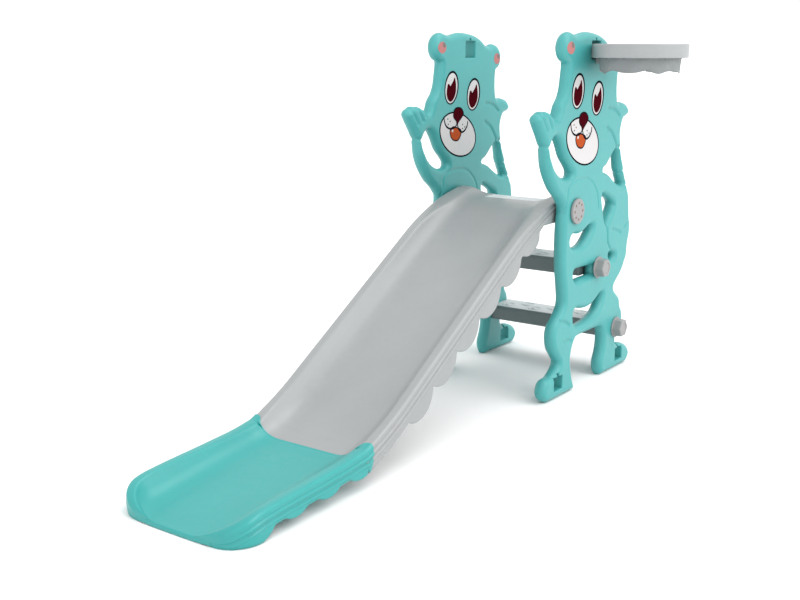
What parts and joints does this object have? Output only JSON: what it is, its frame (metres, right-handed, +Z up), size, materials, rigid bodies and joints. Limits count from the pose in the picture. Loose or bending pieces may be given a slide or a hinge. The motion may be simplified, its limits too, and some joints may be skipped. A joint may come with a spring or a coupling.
{
  "type": "child's slide",
  "caption": "Freestanding child's slide with animal-shaped side panels, scalloped two-piece chute, short ladder, screw knobs and a plug-in ball hoop.",
  "frame": {"origin": "on the floor, under the middle of the whole slide's box", "axes": "+X from the chute's foot towards the ladder, +Y from the hoop side panel to the other one, +Z up"},
  "size_m": [1.806, 0.76, 1.05],
  "materials": {
    "panel_teal": "satin blow-moulded polyethylene",
    "runout_teal": "satin blow-moulded polyethylene",
    "chute_grey": "satin blow-moulded polyethylene",
    "platform_grey": "satin blow-moulded polyethylene",
    "step_grey": "matt blow-moulded polyethylene",
    "knob_grey": "satin moulded plastic",
    "insert_grey": "matt moulded plastic",
    "screw_steel": "zinc plated",
    "hoop_grey": "satin moulded plastic",
    "net_cord": "knotted polyester twine",
    "sticker_print": "printed vinyl"
  },
  "bodies": {
    "frame": {"side_panel_right": "panel_teal", "side_panel_left": "panel_teal", "chute_upper": "chute_grey", "chute_lower": "runout_teal", "top_platform": "platform_grey", "step_middle": "step_grey", "step_lower": "step_grey", "platform_inserts": "insert_grey", "middle_step_inserts": "insert_grey", "lower_step_inserts": "insert_grey", "chute_joint_screws": "screw_steel", "stickers_right_outer": "sticker_print", "stickers_right_inner": "sticker_print", "stickers_left_outer": "sticker_print", "stickers_left_inner": "sticker_print"},
    "hoop": {"hoop_ring": "hoop_grey", "hoop_bracket": "hoop_grey", "hoop_net": "net_cord"},
    "knob_top_right": {"knob_top_right": "knob_grey"},
    "knob_top_left": {"knob_top_left": "knob_grey"},
    "knob_middle_right": {"knob_middle_right": "knob_grey"},
    "knob_middle_left": {"knob_middle_left": "knob_grey"},
    "knob_lower_right": {"knob_lower_right": "knob_grey"},
    "knob_lower_left": {"knob_lower_left": "knob_grey"}
  },
  "joints": [
    {"name": "hoop_pull", "type": "slide", "parent": "frame", "child": "hoop", "axis": [0, -1, 0], "range_m": [0, 0.05]},
    {"name": "knob_top_right_turn", "type": "hinge", "parent": "frame", "child": "knob_top_right", "pos_m": [0.477, -0.114, 0.547], "axis": [0, -1, 0], "continuous": true},
    {"name": "knob_top_left_turn", "type": "hinge", "parent": "frame", "child": "knob_top_left", "pos_m": [0.477, 0.35, 0.547], "axis": [0, 1, 0], "continuous": true},
    {"name": "knob_middle_right_turn", "type": "hinge", "parent": "frame", "child": "knob_middle_right", "pos_m": [0.635, -0.114, 0.357], "axis": [0, -1, 0], "continuous": true},
    {"name": "knob_middle_left_turn", "type": "hinge", "parent": "frame", "child": "knob_middle_left", "pos_m": [0.635, 0.35, 0.357], "axis": [0, 1, 0], "continuous": true},
    {"name": "knob_lower_right_turn", "type": "hinge", "parent": "frame", "child": "knob_lower_right", "pos_m": [0.779, -0.114, 0.14], "axis": [0, -1, 0], "continuous": true},
    {"name": "knob_lower_left_turn", "type": "hinge", "parent": "frame", "child": "knob_lower_left", "pos_m": [0.779, 0.35, 0.14], "axis": [0, 1, 0], "continuous": true}
  ]
}
